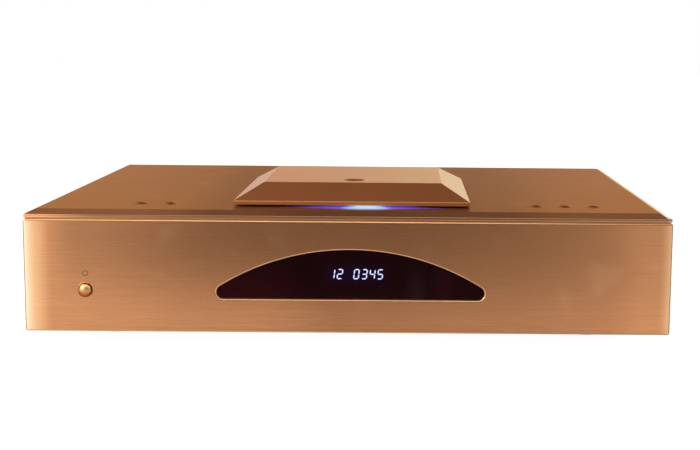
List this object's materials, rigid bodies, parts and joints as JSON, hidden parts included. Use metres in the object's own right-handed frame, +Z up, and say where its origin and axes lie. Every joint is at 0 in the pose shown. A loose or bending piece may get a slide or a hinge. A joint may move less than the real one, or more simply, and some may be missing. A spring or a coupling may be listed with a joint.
{
  "type": "top-loading disc player",
  "caption": "Low copper-coloured disc player with a thick front panel, an arched display window, a sliding bevelled lid over its disc well, and small keys on top.",
  "frame": {"origin": "on the floor, under the middle of the player's box", "axes": "+X to the right seen from the front, -Y out of the front, +Z up"},
  "size_m": [0.43, 0.3234, 0.1041],
  "materials": {
    "front_copper": "brushed along its length, anodised copper colour",
    "case_copper": "satin, anodised copper colour",
    "lid_copper": "fine blasted, anodised copper colour",
    "gold": "polished",
    "smoked_lens": "smoked clear plastic, gloss",
    "display_glass": "dark display glass",
    "light_bar": "clouded, lit blue-white",
    "zinc_steel": "zinc plated",
    "polished_steel": "ground and polished",
    "black_steel": "fine textured black paint",
    "black_plastic": "moulded, matte",
    "white_plastic": "moulded acetal",
    "rubber": "matte",
    "board_green": "varnished circuit board",
    "winding": "taped winding",
    "sleeve_blue": "shrunk sleeve",
    "optic": "coated lens"
  },
  "bodies": {
    "chassis": {"base_tray": "zinc_steel", "side_panel_left": "case_copper", "side_panel_right": "case_copper", "rear_panel": "black_steel", "faceplate": "front_copper", "top_plate": "case_copper", "foot_front_left": "rubber", "foot_front_right": "rubber", "foot_rear_left": "rubber", "foot_rear_right": "rubber", "window_lens": "smoked_lens", "display_module": "display_glass", "display_board": "board_green", "power_switch": "black_plastic", "key_board_left": "board_green", "key_board_right": "board_green", "lid_rail_left": "zinc_steel", "lid_rail_right": "zinc_steel", "well_light": "light_bar", "disc_well": "black_plastic", "transport_base": "zinc_steel", "isolator_1": "rubber", "isolator_2": "rubber", "isolator_3": "rubber", "isolator_4": "rubber", "spindle_motor": "zinc_steel", "guide_rod_left": "polished_steel", "guide_rod_right": "polished_steel", "feed_motor": "zinc_steel", "gear_pin": "polished_steel", "transformer": "winding", "transformer_clamp": "zinc_steel", "main_board": "board_green", "filter_capacitor_1": "sleeve_blue", "filter_capacitor_2": "sleeve_blue", "servo_board": "board_green", "rca_jack_left": "gold", "rca_jack_right": "gold", "digital_jack": "gold", "iec_inlet": "black_plastic"},
    "lid": {"lid": "lid_copper", "lid_runner_left": "black_plastic", "lid_runner_right": "black_plastic"},
    "spindle": {"spindle_hub": "polished_steel"},
    "puck": {"disc_puck": "black_plastic"},
    "pickup": {"pickup_sled": "black_plastic", "pickup_lens": "optic"},
    "feed_gear": {"feed_gear": "white_plastic"},
    "feed_pinion": {"feed_pinion": "white_plastic"},
    "power_button": {"power_button": "gold"},
    "key_previous": {"key_previous": "case_copper"},
    "key_next": {"key_next": "case_copper"},
    "key_stop": {"key_stop": "case_copper"},
    "key_pause": {"key_pause": "case_copper"},
    "key_play": {"key_play": "case_copper"}
  },
  "joints": [
    {"name": "lid_slide", "type": "slide", "parent": "chassis", "child": "lid", "axis": [0, 1, 0], "range_m": [0, 0.1353]},
    {"name": "spindle_spin", "type": "hinge", "parent": "chassis", "child": "spindle", "pos_m": [0, -0.04495, 0.07], "axis": [0, 0, 1], "continuous": true},
    {"name": "puck_lift", "type": "slide", "parent": "spindle", "child": "puck", "axis": [0, 0, 1], "range_m": [0, 0.014]},
    {"name": "pickup_slide", "type": "slide", "parent": "chassis", "child": "pickup", "axis": [0, -1, 0], "range_m": [0, 0.034]},
    {"name": "feed_gear_spin", "type": "hinge", "parent": "chassis", "child": "feed_gear", "pos_m": [0.038, -0.08385, 0.055], "axis": [0, 0, 1], "range_deg": [0, 150]},
    {"name": "feed_pinion_spin", "type": "hinge", "parent": "chassis", "child": "feed_pinion", "pos_m": [0.056, -0.08385, 0.055], "axis": [0, 0, 1], "range_deg": [-390, 0]},
    {"name": "power_press", "type": "slide", "parent": "chassis", "child": "power_button", "axis": [0, 1, 0], "range_m": [0, 0.0025], "stiffness_N_per_m": 600, "springref_m": -0.0005},
    {"name": "previous_press", "type": "slide", "parent": "chassis", "child": "key_previous", "axis": [0, 0, -1], "range_m": [0, 0.0012], "stiffness_N_per_m": 400, "springref_m": -0.0003},
    {"name": "next_press", "type": "slide", "parent": "chassis", "child": "key_next", "axis": [0, 0, -1], "range_m": [0, 0.0012], "stiffness_N_per_m": 400, "springref_m": -0.0003},
    {"name": "stop_press", "type": "slide", "parent": "chassis", "child": "key_stop", "axis": [0, 0, -1], "range_m": [0, 0.0012], "stiffness_N_per_m": 400, "springref_m": -0.0003},
    {"name": "pause_press", "type": "slide", "parent": "chassis", "child": "key_pause", "axis": [0, 0, -1], "range_m": [0, 0.0012], "stiffness_N_per_m": 400, "springref_m": -0.0003},
    {"name": "play_press", "type": "slide", "parent": "chassis", "child": "key_play", "axis": [0, 0, -1], "range_m": [0, 0.0012], "stiffness_N_per_m": 400, "springref_m": -0.0003}
  ],
  "couplings": [
    {"joint": "feed_gear_spin", "follows": "pickup_slide", "rad_per_m": 76.923},
    {"joint": "feed_pinion_spin", "follows": "pickup_slide", "rad_per_m": -200}
  ]
}
